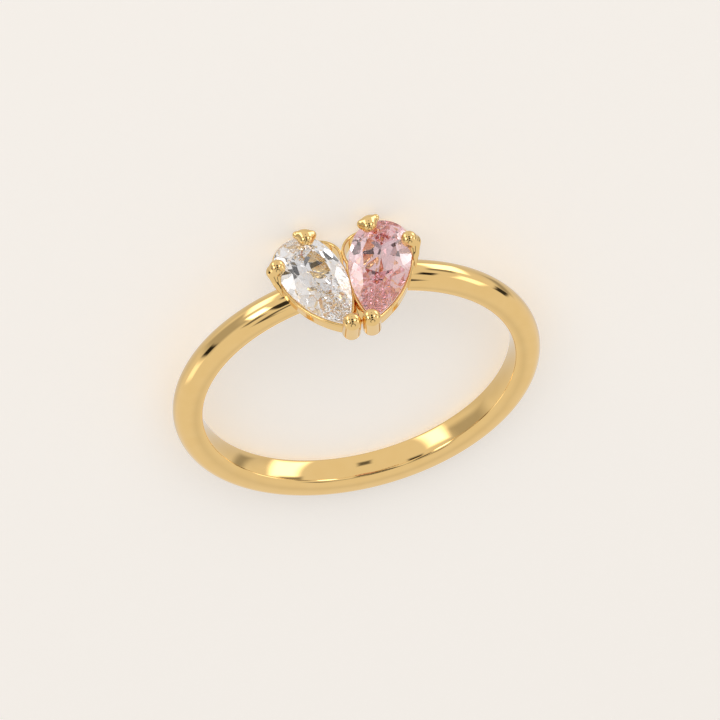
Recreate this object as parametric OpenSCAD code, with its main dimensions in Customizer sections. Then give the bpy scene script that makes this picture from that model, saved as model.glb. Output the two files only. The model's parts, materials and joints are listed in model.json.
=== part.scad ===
/* [Finger hole and band] */
// Inside diameter of the ring, its finger size
finger_d = 16.5; // [15.5:0.1:18]
// Width of the band along the finger
band_w = 1.57; // [1.3:0.01:1.9]
// Thickness of the band at its back
band_t_back = 1.78; // [1.4:0.01:2.2]
// Thickness of the band where it meets the head
band_t_head = 1.25; // [1.1:0.01:1.5]
// Radius of the band's outer shoulders
band_shoulder_r = 0.6; // [0.4:0.01:0.62]
// Rise of the band's crown above its shoulders
band_crown = 0.055; // [0.02:0.005:0.15]
// Radius that eases the band's inner edges
band_ease_r = 0.18; // [0.05:0.01:0.3]
// Distance that the band's ends run in under the collars
band_tuck = 0.5; // [0.2:0.05:0.6]

/* [Pear stones] */
// Width of each stone
stone_w = 3.15; // [2.9:0.05:3.3]
// Length of each stone from its widest line to its point
stone_tip_l = 3.6; // [3.2:0.05:3.9]
// Length of each stone from its widest line to its round end
stone_round_l = 2.33; // [2:0.01:2.5]
// Height of the crown above the girdle
stone_crown_h = 0.42; // [0.3:0.01:0.6]
// Thickness of the girdle
stone_girdle_t = 0.08; // [0.04:0.01:0.15]
// Depth of the pavilion below the girdle
stone_pavilion_h = 1.34; // [1.1:0.01:1.38]
// Size of the table as a share of the girdle
table_share = 0.58; // [0.45:0.01:0.65]
// Angle between each stone's length and the middle of the heart
stone_turn = 17.9; // [15:0.1:21]
// Gap between the two stones at their closest
stones_gap = 0.07; // [0.04:0.01:0.2]
// Place of the stones' widest line along the finger
stone_y = -0.34; // [-0.6:0.02:0]

/* [Collars] */
// Height of the collars' rim above the wall of the finger hole
rim_rise = 1.25; // [1.2:0.01:1.6]
// Height of the collars
collar_h = 0.8; // [0.5:0.01:0.9]
// Thickness of the collars' walls
collar_wall = 0.18; // [0.14:0.01:0.25]
// Distance that the collars stand proud of the girdle
collar_proud = 0.13; // [0.08:0.01:0.16]
// Clearance between a stone and the gold that holds it
seat_gap = 0.03; // [0.02:0.01:0.06]
// Radius of the collars' inner lobes beside the cleft
lobe_r = 1.22; // [1.1:0.01:1.3]
// Overlap of the two inner lobes in the cleft
lobe_overlap = 0.08; // [0.04:0.01:0.14]
// Place of the inner lobes along the finger
lobe_y = -1.17; // [-1.4:0.01:-1]

/* [Prongs] */
// Height of the prongs' balls above the girdle
ball_h = 0.46; // [0.4:0.01:0.6]
// Radius of the outer prongs' balls
ball_r = 0.43; // [0.35:0.01:0.5]
// Radius of the outer prongs' feet
outer_foot_r = 0.27; // [0.2:0.01:0.35]
// Radius of the tip prongs' balls
tip_ball_r = 0.465; // [0.4:0.005:0.5]
// Radius of the tip prongs' feet
tip_foot_r = 0.42; // [0.35:0.005:0.45]
// Gap between the two tip prongs
tip_prongs_gap = 0.09; // [0.05:0.01:0.15]
// Radius of the lobe claws' front balls
claw_ball_r = 0.42; // [0.35:0.01:0.48]
// Distance that the claws' balls reach in over the stones
claw_reach = 0.5; // [0.35:0.01:0.55]
// Radius of the claws' two corners
claw_corner_r = 0.24; // [0.2:0.01:0.3]
// Angle around the round end between the claws' two corners
claw_spread = 32; // [24:1:38]

/* [Hidden] */
$fn = 96;
gold = "#E5C380";
clear_white = "#E9E9EC";
rose_pink = "#DDA3A5";
far = 24;

// The band is thickest at its back, because its outside is a circle set off from the finger hole.
finger_r = finger_d / 2;
band_shift = (band_t_back - band_t_head) / 2;
band_r = finger_r + (band_t_back + band_t_head) / 2;
shoulder_y = band_w / 2 - band_shoulder_r;
shoulder_z = band_r - band_shoulder_r - band_crown;
crown_r = band_shoulder_r + (shoulder_y * shoulder_y + band_crown * band_crown) / (2 * band_crown);
crown_half_w = shoulder_y * crown_r / (crown_r - band_shoulder_r);

// A pear's outline is two long side arcs that meet in its point, and a nose circle that closes them.
half_w = stone_w / 2;
side_r = (stone_tip_l * stone_tip_l + half_w * half_w) / stone_w;
side_in = side_r - half_w;
nose_r = (side_r * side_r - side_in * side_in - stone_round_l * stone_round_l)
    / (2 * (side_r - stone_round_l));
nose_back = stone_round_l - nose_r;
point_turn = acos(stone_tip_l / side_r);
nose_turn = 90 + atan2(nose_back, side_in);
stone_x = stones_gap / 2 + side_r - side_in * cos(stone_turn);

// Heights above the centre of the finger hole
rim_z = finger_r + rim_rise;
seat_recess = collar_wall - collar_proud + seat_gap;
girdle_z = rim_z + seat_recess * stone_pavilion_h / half_w + seat_gap;
girdle_top_z = girdle_z + stone_girdle_t;
table_z = girdle_top_z + stone_crown_h;
ball_z = girdle_top_z + ball_h;
collar_z = rim_z - collar_h;
tuck_z = collar_z + collar_wall / 2;
foot_z = (rim_z + collar_z) / 2;
lobe_x = lobe_r - lobe_overlap / 2;

// A brilliant's facets meet on rings. Places on a ring count its 8 main facets around from the point.
MAIN_COUNT = 8;
SPLIT = 4;
half_count = MAIN_COUNT / 2;
// Where the outline faces at each main place, as far as the round end
FACING = [[0, point_turn], [1, 63], [2, 86], [3, 120], [4, 180]];
// Size of each inner ring as a share of the girdle, and its height as a share of the crown or pavilion
crown_mid_share = 0.79;
crown_mid_rise = 0.65;
pavilion_mid_share = 0.25;
pavilion_mid_drop = 0.77;
// How far a prong's seat draws in over the crown's height, to clear the kites
room_draft = half_w * (1 - crown_mid_share) / crown_mid_rise;

// Prongs stand at angles around a stone, counted from its point, outwards positive.
outer_turn = 101;
outer_foot_turn = outer_turn - 6;
rod_share = 0.96;
claw_turn = -137;
claw_turns = [claw_turn - claw_spread / 2, claw_turn + claw_spread / 2];

// Point at the distance out beyond a pear's outline, where the outline faces the direction turn
function beside(turn, out) =
    abs(turn) < nose_turn
    ? [(side_r + out) * sin(turn) - sign(turn) * side_in, (side_r + out) * cos(turn)]
    : [(nose_r + out) * sin(turn), (nose_r + out) * cos(turn) - nose_back];

// The same point in the head's frame, at a height above the centre of the finger hole
function prong_point(turn, out, z) = let (p = beside(turn, out)) [
    stone_x + p.x * cos(stone_turn) - p.y * sin(stone_turn),
    stone_y + p.x * sin(stone_turn) + p.y * cos(stone_turn),
    z
];

// The ring lies on its side: it rests on the claws' lower corners and on the back of the band.
claw_corner = prong_point(claw_turns[0], claw_corner_r / 2, ball_z);
claw_ball = prong_point(claw_turn, -claw_reach, ball_z + claw_corner_r / 2);
back_z = shoulder_z + band_shift;
rest_run = back_z + claw_corner.z;
rest_drop = -shoulder_y - claw_corner.y;
rest_tilt = atan2(rest_drop, rest_run)
    - asin((band_shoulder_r - claw_corner_r) / norm([rest_run, rest_drop]));
lift = band_shoulder_r + back_z * sin(rest_tilt) + shoulder_y * cos(rest_tilt);
back_reach = (band_r + band_shift - crown_r) * cos(rest_tilt) + crown_r;
head_reach = claw_ball.z * cos(rest_tilt) - claw_ball.y * sin(rest_tilt) + claw_ball_r;

module resting() {
    translate([0, (head_reach - back_reach) / 2, lift])
        rotate([90 - rest_tilt, 0, 0])
            children();
}

// Turns a profile, drawn with the radius along X, around the finger's line
module around_finger() {
    rotate([90, 0, 0])
        rotate_extrude()
            children();
}

module band_outside_2d() {
    translate([0, -band_w / 2])
        square([shoulder_z, band_w]);
    for (side = [-1, 1])
        translate([shoulder_z, side * shoulder_y])
            circle(r = band_shoulder_r);
    intersection() {
        translate([band_r - crown_r, 0])
            circle(r = crown_r);
        translate([0, -crown_half_w])
            square([far, 2 * crown_half_w]);
    }
}

// The finger hole, flared where the band's inner edges are eased
module finger_hole_2d() {
    eased_half_w = band_w / 2 - band_ease_r;
    translate([0, -band_w])
        square([finger_r, 2 * band_w]);
    for (side = [0, 1])
        mirror([0, side])
            difference() {
                translate([0, eased_half_w])
                    square([finger_r + band_ease_r, band_w]);
                translate([finger_r + band_ease_r, eased_half_w])
                    circle(r = band_ease_r);
            }
}

module pear_2d(grow) {
    nose_cut = nose_back - (nose_r + grow) * cos(nose_turn);
    intersection() {
        side_arc(-1, grow);
        side_arc(1, grow);
        translate([-far / 2, -nose_cut])
            square(far);
    }
    translate([0, -nose_back])
        circle(r = nose_r + grow);
}

module side_arc(side, grow) {
    translate([side * side_in, 0])
        circle(r = side_r + grow);
}

module in_stone_place() {
    translate([stone_x, stone_y, 0])
        rotate(stone_turn)
            children();
}

function facing_at(place) = place > half_count ? -lookup(MAIN_COUNT - place, FACING) : lookup(place, FACING);

// Points of one ring: a first place and a step, a share of the girdle's size and a height
function ring(first, step, share, z) = [
    for (place = [first : step : MAIN_COUNT - step / 2])
        let (p = beside(facing_at(place), 0)) [share * p.x, share * p.y, z]
];

// A pear brilliant: table, stars, kites and halves above the girdle, halves and mains below it
module pear_brilliant() {
    points = concat(
        ring(0, 1, table_share, table_z),
        ring(0.5, 1, crown_mid_share, girdle_top_z + crown_mid_rise * stone_crown_h),
        ring(0, 1 / SPLIT, 1, girdle_top_z),
        ring(0, 1 / SPLIT, 1, girdle_z),
        ring(0.5, 1, pavilion_mid_share, girdle_z - pavilion_mid_drop * stone_pavilion_h),
        [[0, 0, girdle_z - stone_pavilion_h]]
    );
    girdle_count = MAIN_COUNT * SPLIT;
    mid = MAIN_COUNT;
    upper = mid + MAIN_COUNT;
    lower = upper + girdle_count;
    deep = lower + girdle_count;
    culet = deep + MAIN_COUNT;
    faces = concat(
        [[for (k = [0 : MAIN_COUNT - 1]) k]],
        [for (k = [0 : MAIN_COUNT - 1]) let (next = (k + 1) % MAIN_COUNT) each [
            [next, k, mid + k],
            [next, mid + k, mid + next],
            [upper + SPLIT * next, mid + next, mid + k],
            [lower + SPLIT * next, deep + k, deep + next],
            [culet, deep + next, deep + k]
        ]],
        [for (i = [0 : girdle_count - 1]) let (next = (i + 1) % girdle_count, k = floor(i / SPLIT)) each [
            [mid + k, upper + i, upper + next],
            [upper + next, upper + i, lower + i, lower + next],
            [deep + k, lower + next, lower + i]
        ]]
    );
    polyhedron(points, faces);
}

// The room that a stone takes, with its clearance: straight up to the girdle's top, drawn in above it
module stone_room() {
    translate([0, 0, collar_z])
        linear_extrude(girdle_top_z - collar_z)
            pear_2d(seat_gap);
    translate([0, 0, girdle_top_z]) {
        intersection() {
            translate([-side_in, 0, 0])
                room_cone(side_r);
            translate([side_in, 0, 0])
                room_cone(side_r);
            translate([-far / 2, (nose_r + seat_gap) * cos(nose_turn) - nose_back, 0])
                rotate([atan2(room_draft * cos(nose_turn), stone_crown_h), 0, 0])
                    cube(far);
        }
        translate([0, -nose_back, 0])
            room_cone(nose_r);
    }
}

module room_cone(r) {
    cylinder(h = stone_crown_h, r1 = r + seat_gap, r2 = r + seat_gap - room_draft);
}

// Outline of one collar, drawn in by the given distance
module collar_2d(inset) {
    in_stone_place()
        pear_2d(collar_proud - inset);
    translate([lobe_x, lobe_y])
        circle(r = lobe_r - inset);
}

module both_sides() {
    children();
    mirror([1, 0, 0])
        children();
}

module collar_hollows(from_z, inset) {
    translate([0, 0, from_z])
        linear_extrude(rim_z - from_z + seat_gap)
            both_sides()
                collar_2d(inset);
}

module collars() {
    difference() {
        translate([0, 0, collar_z])
            linear_extrude(collar_h)
                both_sides()
                    collar_2d(0);
        collar_hollows(collar_z - seat_gap, collar_wall);
    }
}

// The band is open between the collars. Its two ends run into their outer walls, and on under them.
module band() {
    difference() {
        translate([0, 0, -band_shift])
            around_finger()
                band_outside_2d();
        around_finger()
            finger_hole_2d();
        translate([-stone_x, -far / 2, 0])
            cube([2 * stone_x, far, far]);
        collar_hollows(tuck_z, collar_wall);
        collar_hollows(0, collar_wall + band_tuck);
    }
}

// A round rod from one point to another, a little slimmer than the balls, and the ball at its end
module rod(from, to, from_r, to_r) {
    run = to - from;
    translate(from)
        rotate([0, acos(run.z / norm(run)), atan2(run.y, run.x)])
            cylinder(h = norm(run), r1 = rod_share * from_r, r2 = rod_share * to_r);
    translate(to)
        sphere(r = to_r);
}

module outer_prong() {
    foot = prong_point(outer_foot_turn, outer_foot_r / 4, foot_z);
    knee = prong_point(outer_turn, ball_r / 3, girdle_z);
    ball = prong_point(outer_turn, -ball_r / 6, ball_z);
    knee_r = (outer_foot_r + ball_r) / 2;
    translate(foot)
        sphere(r = outer_foot_r);
    rod(foot, knee, outer_foot_r, knee_r);
    rod(knee, ball, knee_r, ball_r);
}

module tip_prong() {
    point = prong_point(point_turn, 0, 0);
    foot = [tip_prongs_gap / 2 + tip_foot_r, point.y, collar_z + tip_foot_r / 2];
    ball = [tip_prongs_gap / 2 + tip_ball_r, point.y + tip_ball_r * 0.7, ball_z];
    translate(foot)
        sphere(r = tip_foot_r);
    rod(foot, ball, tip_foot_r, tip_ball_r);
}

// A wide claw: two corners rise from the collar and run in to one front ball.
module lobe_claw() {
    for (turn = claw_turns) {
        foot = prong_point(turn, -claw_corner_r / 4, foot_z);
        corner = prong_point(turn, claw_corner_r / 2, ball_z);
        rod(foot, corner, claw_corner_r, claw_corner_r);
        rod(corner, claw_ball, claw_corner_r, claw_ball_r);
    }
}

module prongs() {
    difference() {
        union() {
            outer_prong();
            tip_prong();
            lobe_claw();
        }
        in_stone_place()
            stone_room();
    }
}

module gold_mounting() {
    color(gold)
        resting() {
            band();
            collars();
            both_sides()
                prongs();
        }
}

module clear_pear_stone() {
    color(clear_white)
        resting()
            in_stone_place()
                pear_brilliant();
}

module pink_pear_stone() {
    color(rose_pink)
        resting()
            mirror([1, 0, 0])
                in_stone_place()
                    pear_brilliant();
}

gold_mounting();
clear_pear_stone();
pink_pear_stone();
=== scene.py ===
import json
from itertools import combinations

import bpy
import numpy as np
from mathutils import Matrix


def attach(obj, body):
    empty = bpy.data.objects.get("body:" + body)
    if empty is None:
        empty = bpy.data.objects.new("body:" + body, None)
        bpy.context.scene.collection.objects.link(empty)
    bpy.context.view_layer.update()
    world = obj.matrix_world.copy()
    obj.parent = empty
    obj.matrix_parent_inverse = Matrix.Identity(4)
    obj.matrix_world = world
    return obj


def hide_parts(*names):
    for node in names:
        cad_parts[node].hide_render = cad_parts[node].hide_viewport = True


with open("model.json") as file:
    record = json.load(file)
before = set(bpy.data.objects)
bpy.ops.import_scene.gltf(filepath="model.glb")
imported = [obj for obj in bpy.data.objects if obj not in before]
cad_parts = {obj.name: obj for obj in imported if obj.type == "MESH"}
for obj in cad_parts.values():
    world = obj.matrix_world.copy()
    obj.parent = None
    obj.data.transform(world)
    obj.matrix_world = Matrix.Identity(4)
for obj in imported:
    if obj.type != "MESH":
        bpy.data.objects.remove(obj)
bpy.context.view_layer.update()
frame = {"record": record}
print("stage: frame loaded")


def unit(vector):
    # a vector over its own length
    return np.array(vector) / np.linalg.norm(vector)


# All shapes are worked out in millimetres in the ring's own axes: X across the head towards the clear stone,
# Y along the finger towards the stones' points, Z from the middle of the finger hole up through the head.
# The record's finger hole says where that middle is and how the ring lies.
millimetre = 0.001
hole = frame["record"]["mounts"][0]
alongFinger = unit(hole["axis"])
across = np.array([1.0, 0.0, 0.0])
ringAxes = np.stack([across, alongFinger, np.cross(across, alongFinger)])
ringMiddle = np.array(hole["pos_m"])


def toRow(points):
    # the ring's own axes to the record's: each part of a point goes along its axis, then a scale and a shift
    return (points @ ringAxes) * millimetre + ringMiddle


def direction(degrees):
    # unit vectors in the head's plane, turned from the stones' points outwards
    turn = np.radians(degrees)
    return np.stack([np.sin(turn), np.cos(turn)], -1)


# shapes shared by the stones and the gold
head = {
    "stoneWidth": 3.15,
    "toPoint": 3.6,        # from the widest line to the point
    "toRoundEnd": 2.33,    # from the widest line to the round end
    "turn": 17.9,          # of each stone away from the middle of the heart
    "gap": 0.07,           # between the stones
    "widestY": -0.34,
    "girdle": 9.598,       # height of the girdle's lower edge
    "girdleThickness": 0.08,
    "crown": 0.42,
    "pavilion": 1.34,
    "table": 0.58,         # share of the stone's width
    "room": 0.03,          # between a stone and the prongs over it
}

halfWidth = head["stoneWidth"] / 2
sideRadius = (head["toPoint"] ** 2 + halfWidth ** 2) / head["stoneWidth"]
sideIn = sideRadius - halfWidth
noseRadius = ((sideRadius ** 2 - sideIn ** 2 - head["toRoundEnd"] ** 2)
              / (2 * (sideRadius - head["toRoundEnd"])))
noseBack = head["toRoundEnd"] - noseRadius
pointTurn = np.degrees(np.arccos(head["toPoint"] / sideRadius))
noseTurn = 90 + np.degrees(np.arctan2(noseBack, sideIn))
cosTurn, sinTurn = np.cos(np.radians(head["turn"])), np.sin(np.radians(head["turn"]))
stoneX = head["gap"] / 2 + sideRadius - sideIn * cosTurn
girdleTop = head["girdle"] + head["girdleThickness"]


def stoneToHead(local):
    # a turn about Z and a shift: the pear's own length leans in by the turn
    x, y = local[..., 0], local[..., 1]
    return np.stack([stoneX + x * cosTurn - y * sinTurn, head["widestY"] + x * sinTurn + y * cosTurn], -1)


def headToStone(point):
    # the same shift and turn, taken back
    x, y = point[..., 0] - stoneX, point[..., 1] - head["widestY"]
    return np.stack([x * cosTurn + y * sinTurn, -x * sinTurn + y * cosTurn], -1)


def support(degrees):
    # distance from the pear's middle to the line that touches its outline square to a direction. Near the
    # point it is the point's own share of that direction; on an arc it is the radius, less how far back along
    # the direction the arc's middle lies.
    turn = (np.asarray(degrees, float) + 180) % 360 - 180
    size = np.abs(turn)
    side = sideRadius - sideIn * np.sin(np.radians(size))
    nose = noseRadius - noseBack * np.cos(np.radians(size))
    point = head["toPoint"] * np.cos(np.radians(size))
    return np.where(size < pointTurn, point, np.where(size < noseTurn, side, nose))


def beside(turn, out, z):
    # the point at a distance out beyond the pear's outline, where the outline faces a turn
    if abs(turn) < noseTurn:
        local = (sideRadius + out) * direction(turn) - [np.sign(turn) * sideIn, 0]
    else:
        local = (noseRadius + out) * direction(turn) - [0, noseBack]
    return np.append(stoneToHead(local), z)


def pearDistance(local):
    # signed distance to the outline: the farther of the two side arcs, or the nose circle behind the points
    # where it touches them
    x, y = np.abs(local[..., 0]), local[..., 1]
    side = np.hypot(x + sideIn, y) - sideRadius
    fromNose = np.hypot(x, y + noseBack)
    behind = y + noseBack < fromNose * np.cos(np.radians(noseTurn))
    return np.where(behind, fromNose - noseRadius, side)


def smoothUnion(a, b, blend):
    # the smaller of two distances, rounded off by a parabola where they are within the blend of each other
    share = np.clip(0.5 + 0.5 * (b - a) / blend, 0, 1)
    return b + (a - b) * share - blend * share * (1 - share)


def lastInside(isInside, near, far, steps=34):
    # the largest value that still lies inside, by halving the interval; an array is searched all at once
    for _ in range(steps):
        middle = (near + far) / 2
        inside = isInside(middle)
        near, far = np.where(inside, middle, near), np.where(inside, far, middle)
    return near


def skinAlong(rays, origin, distanceAt, reach):
    # the points where a signed distance turns positive on rays from an origin
    count = rays.shape[:-1]
    found = lastInside(lambda out: distanceAt(origin + rays * out[..., None]) < 0,
                       np.zeros(count), np.full(count, reach))
    return origin + rays * found[..., None]


# mesh building
def addToScene(name, data):
    made = bpy.data.objects.new(name, data)
    bpy.context.scene.collection.objects.link(made)
    return made


def meshPiece(name, points, faces, smooth=True):
    mesh = bpy.data.meshes.new(name)
    mesh.from_pydata(toRow(points).tolist(), [], faces)
    mesh.polygons.foreach_set("use_smooth", [smooth] * len(mesh.polygons))
    mesh.update()
    return addToScene(name, mesh)


def gridFaces(rows, columns, closedRows):
    # quads between neighbouring rows and columns; columns wrap around, and so do rows when they are closed
    i, j = np.meshgrid(np.arange(rows if closedRows else rows - 1), np.arange(columns), indexing="ij")
    k, l = (i + 1) % rows, (j + 1) % columns
    return np.stack([i * columns + j, i * columns + l, k * columns + l, k * columns + j], -1).reshape(-1, 4)


def gridPiece(name, grid, closedRows=False, mirrored=False):
    # a grid of points becomes a closed surface: an open end gets a fan of triangles to the middle of its row.
    # The volume under the faces, by triple products, tells whether they point outwards.
    rows, columns = grid.shape[:2]
    points = grid.reshape(-1, 3)
    quads = gridFaces(rows, columns, closedRows)
    fans = np.empty((0, 3), int)
    if not closedRows:
        points = np.vstack([points, grid[0].mean(0), grid[-1].mean(0)])
        j = np.arange(columns)
        l = (j + 1) % columns
        start, end = np.full(columns, rows * columns), np.full(columns, rows * columns + 1)
        lastRow = (rows - 1) * columns
        fans = np.vstack([np.stack([start, l, j], -1), np.stack([end, lastRow + j, lastRow + l], -1)])
    a, b, c = points[np.vstack([quads[:, :3], quads[:, [0, 2, 3]], fans])].swapaxes(0, 1)
    inwards = np.einsum("ij,ij->i", a, np.cross(b, c)).sum() < 0
    faces = quads.tolist() + fans.tolist()
    if mirrored:
        points = points * [-1, 1, 1]
    if inwards != mirrored:
        faces = [face[::-1] for face in faces]
    return meshPiece(name, points, faces)


def finishPiece(piece, material):
    piece.data.materials.append(material)
    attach(piece, "root")


# materials
def linear(hexColour):
    # sRGB hex to linear light
    value = np.array([int(hexColour[i:i + 2], 16) for i in (1, 3, 5)]) / 255
    value = np.where(value <= 0.04045, value / 12.92, ((value + 0.055) / 1.055) ** 2.4)
    return (*value.tolist(), 1.0)


def addNode(tree, kind, settings=None, links=None):
    # one node with its settings, which are inputs or properties, and its links
    node = tree.nodes.new(kind)
    for key, value in (settings or {}).items():
        if isinstance(key, int) or key in node.inputs:
            node.inputs[key].default_value = value
        else:
            setattr(node, key, value)
    for key, socket in (links or {}).items():
        tree.links.new(socket, node.inputs[key])
    return node


def newMaterial(name, shaderSettings):
    material = bpy.data.materials.new(name)
    material.use_nodes = True
    tree = material.node_tree
    shader = tree.nodes["Principled BSDF"]
    for key, value in shaderSettings.items():
        shader.inputs[key].default_value = value
    return material, tree, shader


def mottle(tree, shader, scale, colour, other):
    # the base colour drifts between two tones in soft clouds: it is the first, plus their difference times a
    # noise on Object coordinates
    place = addNode(tree, "ShaderNodeTexCoord").outputs["Object"]
    clouds = addNode(tree, "ShaderNodeTexNoise", {"Scale": scale, "Detail": 2.0}, {"Vector": place})
    tone = addNode(tree, "ShaderNodeMix", {"data_type": "RGBA", 6: linear(colour), 7: linear(other)},
                   {0: clouds.outputs["Fac"]})
    tree.links.new(tone.outputs[2], shader.inputs["Base Color"])
    return place, clouds.outputs["Fac"]


goldFinish = {
    "colour": "#F2D090",
    "deeper": "#EDC884",
    "roughness": (0.02, 0.06),
    "polishGrain": 26000,     # per metre: strokes about 0.04 mm apart
    "grainRange": (0.3, 0.7),
    "ripple": 1100,           # per metre: hand finishing waves about 0.9 mm long
    "rippleStrength": 0.05,
    "rippleDepth": 0.00002,
}


def polishedYellowGold():
    # 14 carat yellow gold, cast and buffed by hand: a warm mirror with faint waves and a little buffing haze
    f = goldFinish
    material, tree, shader = newMaterial("polished yellow gold", {"Metallic": 1.0})
    place, waves = mottle(tree, shader, f["ripple"], f["colour"], f["deeper"])
    haze = addNode(tree, "ShaderNodeTexNoise", {"Scale": f["polishGrain"], "Detail": 3.0}, {"Vector": place})
    shine = addNode(tree, "ShaderNodeMapRange", {
        "From Min": f["grainRange"][0], "From Max": f["grainRange"][1],
        "To Min": f["roughness"][0], "To Max": f["roughness"][1]}, {"Value": haze.outputs["Fac"]})
    tree.links.new(shine.outputs["Result"], shader.inputs["Roughness"])
    bump = addNode(tree, "ShaderNodeBump", {"Strength": f["rippleStrength"], "Distance": f["rippleDepth"]},
                   {"Height": waves})
    tree.links.new(bump.outputs["Normal"], shader.inputs["Normal"])
    return material


stoneFinish = {
    "clear": {"name": "clear cut diamond", "colour": "#FBFCFF", "cloud": "#F4F6FB",
              "depth": "#F2F2F4", "density": 30.0},
    "pink": {"name": "pink cut diamond", "colour": "#FFF6FA", "cloud": "#FBE8F1",
             "depth": "#EF9FAD", "density": 86.0},
    "ior": 2.42,
    "clouds": 700.0,       # per metre: about 1.4 mm across
}


def cutStone(kind):
    # a cut and polished gem: a clear glassy body that deepens with the light's way through it, flat mirror
    # facets, and a little cloudiness that shifts its tone
    f = stoneFinish[kind]
    material, tree, shader = newMaterial(f["name"], {
        "Transmission Weight": 1.0, "IOR": stoneFinish["ior"], "Roughness": 0.0})
    mottle(tree, shader, stoneFinish["clouds"], f["colour"], f["cloud"])
    depth = addNode(tree, "ShaderNodeVolumeAbsorption", {
        "Color": linear(f["depth"]), "Density": f["density"]})
    tree.links.new(depth.outputs[0], tree.nodes["Material Output"].inputs["Volume"])
    return material


gold = polishedYellowGold()
clearStone, pinkStone = cutStone("clear"), cutStone("pink")
print("stage: materials")


# the band
band = {
    "fingerRadius": 8.25,
    "width": 1.57,
    "thickBack": 1.78,
    "thickHead": 1.25,
    "shoulder": 0.6,       # radius of the outer shoulders
    "crown": 0.055,        # rise of the outer face above them
    "ease": 0.18,          # radius of the inner edges
    "comfort": 0.06,       # the inside is bowed by this much
    "sideTurn": 8,         # degrees that each bowed side leans at its two edges
    "bite": 0.015,         # how far the ends run through a collar's inner face
    "tuck": 0.5,           # how much further they run in under the collars
    "tuckBelow": 8.85,     # height where that starts, and how soon it is whole
    "tuckOver": 0.1,
    "ends": (0.18, 0.7),   # radians from the head's middle between which the ends lie
    "stations": 540,
    "steps": {"inside": 14, "ease": 9, "side": 14, "shoulder": 28, "crown": 13},
}


def bandProfile():
    # half profile from the middle of the inside out to the middle of the crown, then its mirror image: bowed
    # inside (parabola), eased inner edge (arc), bowed side (parabola), shoulder arc and crown arc, each one
    # tangent to the next. A point is (height above the inside, share of the thickness, place along the
    # finger, bow for each length of the side). What the two edges take from the thickness comes second.
    ease, shoulder, crown, comfort = [band[key] for key in ("ease", "shoulder", "crown", "comfort")]
    steps = band["steps"]
    lean = np.radians(band["sideTurn"])
    sideLong = band["thickBack"] - (ease + shoulder) * (1 - np.sin(lean)) - comfort - crown
    sideEdge = band["width"] / 2 - sideLong * np.tan(lean) / 4
    easeMiddle, run = sideEdge - ease * np.cos(lean), sideEdge - shoulder * np.cos(lean)
    crownRadius = shoulder + (run ** 2 + crown ** 2) / (2 * crown)
    crownTurn = np.arcsin(run / (crownRadius - shoulder))
    start = np.arctan(2 * comfort / (easeMiddle + 0.2 * ease))   # the sine of this turn is close to 0.2
    t = np.linspace(0, 1, steps["inside"], endpoint=False)
    inside = np.stack([comfort * t ** 2, (easeMiddle + ease * np.sin(start)) * t], -1)
    t = np.linspace(start, np.pi / 2 - lean, steps["ease"])
    eased = np.stack([comfort + ease * (np.cos(start) - np.cos(t)), easeMiddle + ease * np.sin(t)], -1)
    t = np.linspace(np.pi / 2 - lean, crownTurn, steps["shoulder"])
    arc = np.stack([shoulder * np.cos(t) - shoulder - crown, run + shoulder * np.sin(t)], -1)
    t = np.linspace(crownTurn, 0, steps["crown"])[1:]
    top = np.stack([crownRadius * np.cos(t) - crownRadius, crownRadius * np.sin(t)], -1)
    t = np.linspace(0, 1, steps["side"])[1:-1]
    side = np.stack([eased[-1, 0] * (1 - t) + arc[0, 0] * t, t, np.full(len(t), sideEdge),
                     np.tan(lean) * t * (1 - t)], -1)
    low = np.insert(np.vstack([inside, eased]), [1, 2], 0, axis=1)
    high = np.insert(np.vstack([arc, top]), [1, 2], [1, 0], axis=1)
    profile = np.vstack([low, side, high])
    return np.vstack([profile, (profile * [1, 1, -1, -1])[-2:0:-1]]), eased[-1, 0] - arc[0, 0]


def buildBand(name):
    # the profile is carried round the finger hole; the outside follows a circle set off towards the back, and
    # each line of it ends where it meets the inner face of a collar, or a little further in below the collar
    profile, edges = bandProfile()
    shift = (band["thickBack"] - band["thickHead"]) / 2
    outerRadius = band["fingerRadius"] + (band["thickBack"] + band["thickHead"]) / 2

    def place(angle):
        outside = np.sqrt(outerRadius ** 2 - (shift * np.sin(angle)) ** 2) - shift * np.cos(angle)
        thickness = outside - band["fingerRadius"]
        radius = band["fingerRadius"] + profile[:, 0] + profile[:, 1] * thickness
        along = profile[:, 2] + profile[:, 3] * (thickness - edges)
        return np.stack([radius * np.sin(angle), along, radius * np.cos(angle)], -1)

    def isInCollar(angle):
        spot = place(angle)
        under = np.clip((band["tuckBelow"] - spot[:, 2]) / band["tuckOver"], 0, 1)
        end = collar["proud"] - collar["wall"] + band["bite"] - band["tuck"] * under
        return pearDistance(headToStone(spot[:, :2])) < end

    near, far = band["ends"]
    end = lastInside(isInCollar, np.full(len(profile), near), np.full(len(profile), far))
    share = np.linspace(0, 1, band["stations"])[:, None]
    return gridPiece(name, place(end + (2 * np.pi - 2 * end) * share))


# the collars
collar = {
    "rim": 9.5,
    "height": 0.8,
    "wall": 0.18,
    "proud": 0.13,          # beyond the girdle
    "bead": 0.085,          # radius of the rounded rim
    "beadFrom": -63,        # degrees from level, where the bead's arc starts on the outer side
    "footRadius": 0.07,
    "draft": 0.07,          # drawn in at the lower edge
    "rimInset": (0.03, 0.01),   # of the outer and the inner face under the rim's bead
    "rimDrop": (2.1, 1.6),      # where those two faces end below the rim, in radii of the bead
    "footInset": 0.02,          # of both faces above the foot
    "footRise": 0.1,
    "lobe": (1.18, -1.17, 1.22),   # place and radius of the lobe beside the cleft
    "lobeBlend": 0.08,
    "past": 0.03,           # the two collars run into each other by this much in the middle of the heart
    "pastBlend": 0.05,
    "reach": 6.0,
    "stations": 720,
    "steps": {"bead": 16, "inner": 6, "foot": 10, "outer": 8},
}


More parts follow.
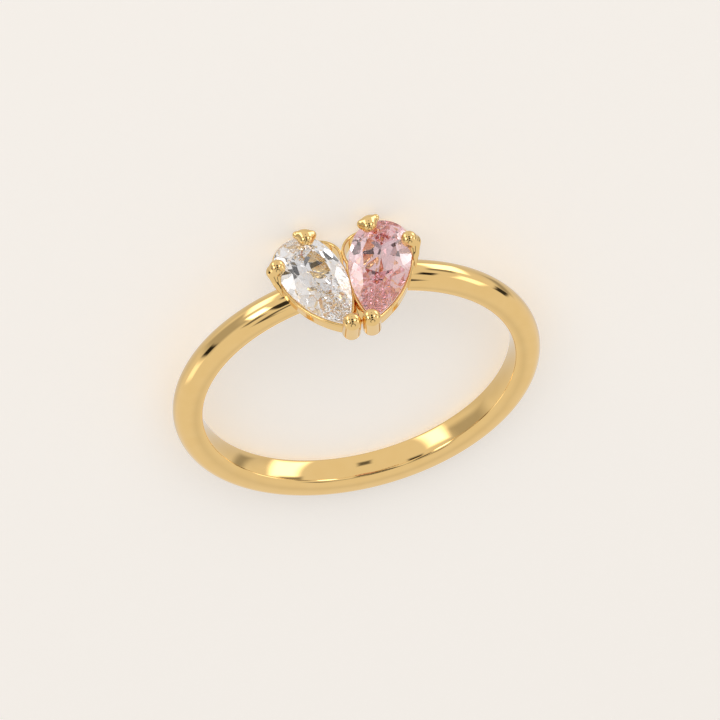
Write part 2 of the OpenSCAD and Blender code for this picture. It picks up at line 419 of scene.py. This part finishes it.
def collarDistance(point):
    # outline of pear and lobe together, cut off at the middle of the heart; zero lies on the outer face
    pear = pearDistance(headToStone(point)) - collar["proud"]
    x, y, radius = collar["lobe"]
    lobe = np.hypot(point[..., 0] - x, point[..., 1] - y) - radius
    whole = smoothUnion(pear, lobe, collar["lobeBlend"])
    return -smoothUnion(-whole, point[..., 0] + collar["past"], collar["pastBlend"])


def collarProfile():
    # (distance in from the outer face, height): an arc for the rim's bead, a plain inner face, an arc for the
    # foot and a plain outer face; both faces draw in towards the foot
    c = collar
    rim, foot, steps = c["rim"], c["rim"] - c["height"], c["steps"]
    wall, bead, draft, footRadius = [c[key] for key in ("wall", "bead", "draft", "footRadius")]
    outerInset, innerInset = c["rimInset"]
    outerTop, innerTop = [rim - drop * bead for drop in c["rimDrop"]]
    faceFoot = foot + c["footRise"]
    t = np.linspace(np.radians(c["beadFrom"]), np.pi, steps["bead"])
    top = np.stack([wall / 2 - bead * np.cos(t), rim - bead + bead * np.sin(t)], -1)
    innerLow = (wall + draft - c["footInset"], faceFoot)
    inner = np.linspace((wall - innerInset, innerTop), innerLow, steps["inner"])
    t = np.linspace(0, -np.pi, steps["foot"])
    low = np.stack([wall / 2 + draft + footRadius * np.cos(t), foot + footRadius * (1 + np.sin(t))], -1)
    outer = np.linspace((draft + c["footInset"], faceFoot), (outerInset, outerTop), steps["outer"])
    return np.vstack([top, inner, low, outer])


def buildCollar(name, mirrored):
    # rays from the middle of the stone meet the outline, moved in by the profile's depth
    depth, height = collarProfile().T
    turn = np.linspace(0, 360, collar["stations"], endpoint=False)
    rays = direction(turn)[:, None, :] * np.ones((1, len(depth), 1))
    middle = np.array([stoneX, head["widestY"]])
    flat = skinAlong(rays, middle, lambda point: collarDistance(point) + depth, collar["reach"])
    tall = np.broadcast_to(height[:, None], (*flat.shape[:2], 1))
    return gridPiece(name, np.concatenate([flat, tall], -1), closedRows=True, mirrored=mirrored)


# the prongs: a joint is (degrees further round the stone, distance out from its outline, drop below the
# ball's middle, radius), and the claw's parts are (way from the ball's middle, radius)
prongs = {
    "ballZ": girdleTop + 0.46,
    "outer": {
        "turn": 101, "ball": 0.42, "blend": 0.03,
        "joints": (
            (0, -0.07, 0, 0.4),
            (0, 0.12, 0.28, 0.4),
            (-5, 0.12, 0.64, 0.27),
            (-11, 0.06, 0.938, 0.19),
        ),
    },
    "tip": {"ball": 0.465, "foot": 0.49, "gap": 0.07, "beyond": 0.7, "blend": 0.001},
    "claw": {
        "turn": -137, "reach": 0.5, "lift": 0.1, "ball": 0.39, "blend": 0.26,
        "horn": ((0.43, -0.4, 0.0), 0.19),
        "ridge": ((0.06, -0.26, -0.02), 0.25),
        "low": ((-0.36, -0.23, -0.05), 0.22),
        "neck": (0.1, 0.26),      # drop below the ridge, and radius
        "root": (9.0, 0.24),      # height, and radius
        "middle": (0.45, 0.02),   # share of the way from ball to ridge, and drop
    },
    "reach": 3.0,
    "rows": 120,
    "columns": 160,
}


def rodDistance(points, start, end, startRadius, endRadius):
    # distance to a rod with round ends whose radius runs evenly from one end to the other
    run = end - start
    share = np.clip(((points - start) @ run) / (run @ run), 0, 1)
    fromAxis = np.linalg.norm(points - start - share[..., None] * run, axis=-1)
    return fromAxis - (startRadius + (endRadius - startRadius) * share)


def ballAt(place, radius):
    # a rod so short that it is a ball
    return place, place + [0, 0, 0.001], radius, radius


def stoneRoomDistance(points):
    # the space over the girdle that the stone takes: inside the outline and below the crown's slope
    out = pearDistance(headToStone(points[..., :2])) - head["room"]
    slope = head["crown"] / ((1 - head["table"]) * halfWidth)
    over = (points[..., 2] - girdleTop - head["room"] + slope * out) / np.sqrt(1 + slope ** 2)
    return np.maximum(out, over)


def sculpted(name, rods, centre, blend, mirrored):
    # rods with round ends flow into one body; rays from its centre find its skin, less the stone's room
    def skinDistance(points):
        total = rodDistance(points, *rods[0])
        for rod in rods[1:]:
            total = smoothUnion(total, rodDistance(points, *rod), blend)
        return np.maximum(total, -stoneRoomDistance(points))

    polar = np.linspace(0, np.pi, prongs["rows"] + 2)[1:-1, None]
    turn = np.linspace(0, 2 * np.pi, prongs["columns"], endpoint=False)[None, :]
    rays = np.stack(np.broadcast_arrays(
        np.sin(polar) * np.cos(turn), np.sin(polar) * np.sin(turn), np.cos(polar)), -1)
    return gridPiece(name, skinAlong(rays, centre, skinDistance, prongs["reach"]), mirrored=mirrored)


def outerProng(name, mirrored):
    # a clean ball, a fuller body that hangs out behind it and a stem that narrows down to the collar's wall
    p = prongs["outer"]
    places = [beside(p["turn"] + turn, out, prongs["ballZ"] - drop) for turn, out, drop, _ in p["joints"]]
    radii = [joint[-1] for joint in p["joints"]]
    rods = [ballAt(places[0], p["ball"]), *zip(places, places[1:], radii, radii[1:])]
    return sculpted(name, rods, places[0], p["blend"], mirrored)


def tipProng(name, mirrored):
    # a ball that runs straight into a round rod, down past the collar's lower edge
    p = prongs["tip"]
    y = beside(pointTurn, 0, 0)[1]
    ball = np.array([p["gap"] / 2 + p["ball"], y + p["ball"] * p["beyond"], prongs["ballZ"]])
    foot = np.array([p["gap"] / 2 + p["foot"], y, collar["rim"] - collar["height"] + p["foot"] / 2])
    rods = [ballAt(ball, p["ball"]), (ball, foot, p["ball"], p["foot"])]
    return sculpted(name, rods, ball, p["blend"], mirrored)


def lobeClaw(name, mirrored):
    # a bent claw: the ball of its tip lies on the stone, a ridge behind it runs from a horn on the outer side
    # to a lower end at the cleft, and its root goes down into the collar
    p = prongs["claw"]
    ball = beside(p["turn"], -p["reach"], prongs["ballZ"] + p["lift"])
    horn, ridge, low = [ball + p[part][0] for part in ("horn", "ridge", "low")]
    hornRadius, ridgeRadius, lowRadius = [p[part][1] for part in ("horn", "ridge", "low")]
    neckDrop, neckRadius = p["neck"]
    rootZ, rootRadius = p["root"]
    root = beside(p["turn"], 0.0, rootZ)
    rods = [ballAt(ball, p["ball"]),
            (horn, ridge, hornRadius, ridgeRadius),
            (ridge, low, ridgeRadius, lowRadius),
            (ridge - [0, 0, neckDrop], root, neckRadius, rootRadius)]
    share, drop = p["middle"]
    return sculpted(name, rods, ball * (1 - share) + ridge * share - [0, 0, drop], p["blend"], mirrored)


bridge = {
    "start": 0.55,          # along the finger, where the collars part
    "end": 2.75,
    "top": 9.24,
    "foot": 8.78,
    "sag": 0.07,            # its top is hollow
    "bite": 0.06,           # how far it runs into the collars
    "widest": 1.2,
    "stations": 60,
    "across": 25,
}


def buildBridge(name):
    # a saddle of gold that closes the wedge between the two collars: across each station it runs from one
    # collar's outer face to the other's, with a top that dips by a parabola and a flat underside
    b = bridge
    count = b["stations"]
    along = np.linspace(b["start"], b["end"], count)
    half = lastInside(lambda x: collarDistance(np.stack([x, along], -1)) > -b["bite"],
                      np.zeros(count), np.full(count, b["widest"]))[:, None]
    share = np.linspace(-1, 1, b["across"])[None, :]
    top = b["top"] - b["sag"] * (1 - share ** 2)
    upper = np.stack(np.broadcast_arrays(half * share, along[:, None], top), -1)
    lower = upper[:, ::-1] * [1, 1, 0] + [0, 0, b["foot"]]
    return gridPiece(name, np.concatenate([upper, lower], 1))


goldPieces = [buildBand("band"), buildBridge("heart_bridge")]
for build, names in (
        (buildCollar, ("clear_stone_collar", "pink_stone_collar")),
        (outerProng, ("clear_outer_prong", "pink_outer_prong")),
        (tipProng, ("clear_tip_prong", "pink_tip_prong")),
        (lobeClaw, ("clear_lobe_claw", "pink_lobe_claw"))):
    goldPieces += [build(names[0], False), build(names[1], True)]
for piece in goldPieces:
    finishPiece(piece, gold)
    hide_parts("gold_mounting")
print("stage: gold,", sum(len(piece.data.polygons) for piece in goldPieces), "faces")


# the stones
# Facets lie where the pear's outline faces these turns, and start at the outline scaled by their reach. A
# crown facet's slope, a share of the kites', is its rise over the way to the middle; a pavilion facet's slope
# is in degrees, because cut stones keep it steady all round to send the light back.
crownCuts = {
    "kites": ((0, 46, 70, 94, 118, 148, 180), 1.0, 1.0),
    "halves": ((16, 32, 54, 62, 78, 86, 102, 110, 128, 138, 158, 170), 1.0, 1.3),
    "stars": ((24, 58, 82, 106, 133, 164), 1.25, 0.98),
}
pavilionCuts = {
    "halves": ((45, 57, 69, 81, 93, 106, 120, 133, 147, 160, 173), 1.0, 43.0),
    "mains": ((51, 75, 99, 126, 153, 180), 1.0, 41.4),
    "lower": ((63, 87, 112, 139, 167), 1.03, 39.8),
    "point": ((0,), 1.0, 31.0),
}
girdleFlats = 48
tableFlat = 0.924      # a star meets the table in the middle of a flat, nearer than its corners
closeEnough = {"parallel": 1e-7, "inside": 1e-6, "onPlane": 2e-5, "decimals": 5}


def onBothSides(turns):
    # a facet on the stone's middle line stands alone, and all others come in pairs
    return [turn for size in turns for turn in ((size,) if size in (0, 180) else (size, -size))]


def facetPlanes():
    # every facet is a plane a.x + b.y + c.z = 1 about the stone's middle at the girdle: it touches the
    # outline, scaled by its reach, and slopes in from the girdle's edge
    lift = head["girdleThickness"] / 2
    planes = [(0, 0, 1 / (head["crown"] + lift)), (0, 0, -1 / (head["pavilion"] + lift))]
    for turns, reach, steep in crownCuts.values():
        flat = tableFlat / reach if reach > 1 else 1
        rise = head["crown"] * steep / (1 - head["table"] * flat)
        for turn in onBothSides(turns):
            x, y = direction(turn) / (reach * support(turn))
            planes.append(np.array([x, y, 1 / rise]) / (1 + lift / rise))
    for turns, reach, slope in pavilionCuts.values():
        inwards = 1 / np.tan(np.radians(slope))
        for turn in onBothSides(turns):
            planes.append(np.append(direction(turn), -inwards) / (reach * support(turn) + lift * inwards))
    for turn in np.linspace(0, 360, girdleFlats, endpoint=False):
        planes.append((*(direction(turn) / support(turn)), 0))
    return np.array(planes)


def buildStone(name, mirrored):
    # the solid inside all the planes: its corners are the meeting points of three planes that no other plane
    # cuts off, and each facet's corners are sorted by their angle about its middle
    planes = facetPlanes()
    matrix = planes[np.array(list(combinations(range(len(planes)), 3)))]
    matrix = matrix[np.abs(np.linalg.det(matrix)) > closeEnough["parallel"]]
    corners = np.linalg.solve(matrix, np.ones((len(matrix), 3, 1)))[..., 0]
    corners = corners[np.abs(corners).max(1) < head["toPoint"] + 0.1]   # most lie far out and go first
    corners = corners[(corners @ planes.T <= 1 + closeEnough["inside"]).all(1)]
    corners = np.unique(corners.round(closeEnough["decimals"]), axis=0)
    faces = []
    for plane in planes:
        on = np.flatnonzero(np.abs(corners @ plane - 1) < closeEnough["onPlane"])
        if len(on) < 3:
            continue
        fromMiddle = corners[on] - corners[on].mean(0)
        sideways = np.cross(plane, [0.3, 0.5, 0.8])     # any direction that lies in the plane
        upwards = np.cross(unit(plane), sideways)
        angle = np.arctan2(fromMiddle @ upwards, fromMiddle @ sideways)
        faces.append(on[np.argsort(angle)].tolist())
    points = np.column_stack([stoneToHead(corners[:, :2]), corners[:, 2] + (head["girdle"] + girdleTop) / 2])
    if mirrored:
        points = points * [-1, 1, 1]
        faces = [face[::-1] for face in faces]
    print("stage:", name, len(faces), "facets")
    return meshPiece(name, points, faces, smooth=False)


for name, mirrored, material, slotName, node in (
        ("clear_brilliant", False, clearStone, "clear_stone", "clear_pear_stone"),
        ("pink_brilliant", True, pinkStone, "pink_stone", "pink_pear_stone")):
    stone = buildStone(name, mirrored)
    finishPiece(stone, material)
    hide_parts(node)


# stage, lights and camera
studio = {
    "floor": "#F2EEE9",
    "floorFibre": "#F1EDE7",
    "fibreScale": 900.0,     # per metre: about 1.1 mm, coarser than real fibre so that it shows
    "floorSize": 3.0,
    "floorGlow": 0.35,       # the paper is lit from below as well, as on a light table
    "world": ("#FFFCF9", 0.5),
    "key": {"place": (0.1, -1.1, 0.46), "size": (1.5, 0.7), "power": 8.0},
    "tentRadius": 0.9,
    "tentEnd": 89.5,         # degrees of elevation, just short of straight up and down
    "tentCloth": "#FFFBF7",
    "tentGlow": 0.88,
    # windows and dark gaps: azimuth from the ring's back, elevation, half width, half height, soft edge, glow
    "tent": (
        (-6, -52, 75, 26, 24, 0.75),   # the far floor
        (-5.5, 27, 2, 2, 16, 0.72),    # what the band's flat side shows: a little darker in its middle
        (180, 66, 49, 4, 6, 0.1),      # a seam of the tent, most of the way round
        (106, -8, 16, 26, 16, 0.5),    # a dim side, with windows in it and around it
        (132, -32, 7, 16, 8, 2.8),
        (-116, -30, 10, 16, 8, 2.8),
        (129, 14, 6, 12, 4, 4.5),
        (-146, 19, 6, 8, 4, 4.5),
        (-77, -26, 5, 14, 8, 0.4),     # cards that give the stones their dark facets
        (92, 4, 5, 10, 5, 0.02),
        (118, 36, 6, 5, 5, 0.2),
        (140, 38, 6, 14, 4, 0.04),
        (-80, -2, 5, 9, 4, 0.04),
        (-122, -8, 8, 6, 5, 0.3),
        (-174.5, -27, 4, 4, 4, 0.15),  # what the stones' tables mirror: dark, so that their depth shows
        (74, 5, 7, 10, 8, 1.5),        # windows that brighten the stones
        (-100, 14, 9, 9, 6, 1.9),
        (151, -2, 5, 6, 4, 0.02),      # beside the two joints of band and head
        (-127, 22, 5, 7, 4, 0.02),
        (-179, 12, 10, 12, 4, 0.02),   # the dark front of the tent, with two bright chinks
        (-180, 39, 13, 10, 4, 0.02),
        (172, 62, 9, 7, 4, 0.02),
    ),
    "tentGrid": (150, 300),
    "bounces": (40, 32, 32),   # in all, off mirrors, through stones: light goes back and forth in a cut stone
}


def tentGlow(azimuth, elevation):
    # one even glow, and in each window or gap its own, with a smooth step across its soft edge
    glow = np.full(azimuth.shape, studio["tentGlow"])
    for turn, height, wide, high, edge, own in studio["tent"]:
        aside = np.abs((azimuth - turn + 180) % 360 - 180) * np.cos(np.radians(elevation)) - wide
        above = np.abs(elevation - height) - high
        share = np.clip(0.5 - np.maximum(aside, above) / edge, 0, 1)
        share = share * share * (3 - 2 * share)
        glow = glow * (1 - share) + own * share
    return glow


def buildTent():
    # a light tent, as jewellery is photographed in: a sphere, by its two angles, that only the polished gold
    # and the stones see
    rows, columns = studio["tentGrid"]
    elevation, azimuth = np.meshgrid(np.linspace(-studio["tentEnd"], studio["tentEnd"], rows),
                                     np.linspace(-180, 180, columns, endpoint=False), indexing="ij")
    up = np.radians(elevation)[..., None]
    points = studio["tentRadius"] * np.concatenate([direction(azimuth) * np.cos(up), np.sin(up)], -1)
    mesh = bpy.data.meshes.new("light tent")
    mesh.from_pydata(points.reshape(-1, 3).tolist(), [], gridFaces(rows, columns, False).tolist())
    glow = mesh.attributes.new("glow", "FLOAT", "POINT")
    glow.data.foreach_set("value", tentGlow(azimuth, elevation).ravel())
    tent = addToScene("light_tent", mesh)
    tent.visible_camera = tent.visible_diffuse = tent.visible_shadow = False
    material, tree, shader = newMaterial("tent cloth", {
        "Base Color": (0, 0, 0, 1), "Specular IOR Level": 0.0, "Emission Color": linear(studio["tentCloth"])})
    bright = addNode(tree, "ShaderNodeAttribute", {"attribute_name": "glow"})
    tree.links.new(bright.outputs["Fac"], shader.inputs["Emission Strength"])
    material.cycles.emission_sampling = "NONE"
    mesh.materials.append(material)


def buildFloor():
    # matt paper with a faint fibre in its tone; the gold mirrors the tent's lower half instead of it
    bpy.ops.mesh.primitive_plane_add(size=studio["floorSize"])
    floor = bpy.context.object
    floor.name = "floor"
    floor.visible_glossy = False
    material, tree, shader = newMaterial("matt paper", {
        "Roughness": 0.9, "Specular IOR Level": 0.1,
        "Emission Color": linear(studio["floor"]), "Emission Strength": studio["floorGlow"]})
    mottle(tree, shader, studio["fibreScale"], studio["floor"], studio["floorFibre"])
    floor.data.materials.append(material)


def standAt(thing, place, right, up, back):
    # a turn whose columns are the thing's own three axes, then a shift to its place
    turned = Matrix(np.column_stack([right, up, back]).tolist())
    thing.matrix_world = Matrix.Translation(place) @ turned.to_4x4()


def addLight():
    # the world's even light, and one large soft light from beyond the head, turned to the ring
    world = bpy.data.worlds.new("studio")
    bpy.context.scene.world = world
    world.use_nodes = True
    background = world.node_tree.nodes["Background"]
    background.inputs["Color"].default_value = linear(studio["world"][0])
    background.inputs["Strength"].default_value = studio["world"][1]
    key = studio["key"]
    data = bpy.data.lights.new("key softbox", "AREA")
    data.shape, data.energy = "RECTANGLE", key["power"]
    data.size, data.size_y = key["size"]
    softbox = addToScene("key softbox", data)
    back = unit(key["place"])
    side = unit(np.cross([0, 0, 1.0], back))
    standAt(softbox, key["place"], side, np.cross(back, side), back)
    softbox.visible_glossy = softbox.visible_transmission = False


photoCamera = {
    "distance": 250.0,       # millimetres from the middle of the finger hole
    "lens": 240.9,
    "sensor": 36.0,
    "clip": (0.01, 20.0),
    "turn": -8.73,           # degrees round the head's upright, from the points' side
    "lift": 55.97,           # degrees above the finger's line
    "roll": -5.16,
    "aim": (0.156, 0.919),   # millimetres right of and above the middle of the finger hole
}


def buildCamera():
    # the view's own axes by spherical angles, then a roll about the line of sight
    c = photoCamera
    turn, lift, roll = np.radians([c["turn"], c["lift"], c["roll"]])
    back = np.array([-np.sin(turn) * np.cos(lift), np.cos(turn) * np.cos(lift), np.sin(lift)])
    right = unit(np.cross([0, 0, 1.0], back))
    up = np.cross(back, right)
    right, up = np.cos(roll) * right + np.sin(roll) * up, np.cos(roll) * up - np.sin(roll) * right
    place = back * c["distance"] + right * c["aim"][0] + up * c["aim"][1]
    data = bpy.data.cameras.new("photo camera")
    data.lens, data.sensor_width = c["lens"], c["sensor"]
    data.clip_start, data.clip_end = c["clip"]
    camera = addToScene("photo camera", data)
    standAt(camera, toRow(place), right @ ringAxes, up @ ringAxes, back @ ringAxes)
    bpy.context.scene.camera = camera


buildFloor()
buildTent()
addLight()
buildCamera()
bpy.context.scene.view_settings.view_transform = "Standard"
lightPaths = bpy.context.scene.cycles
lightPaths.max_bounces, lightPaths.glossy_bounces, lightPaths.transmission_bounces = studio["bounces"]
print("stage: studio")
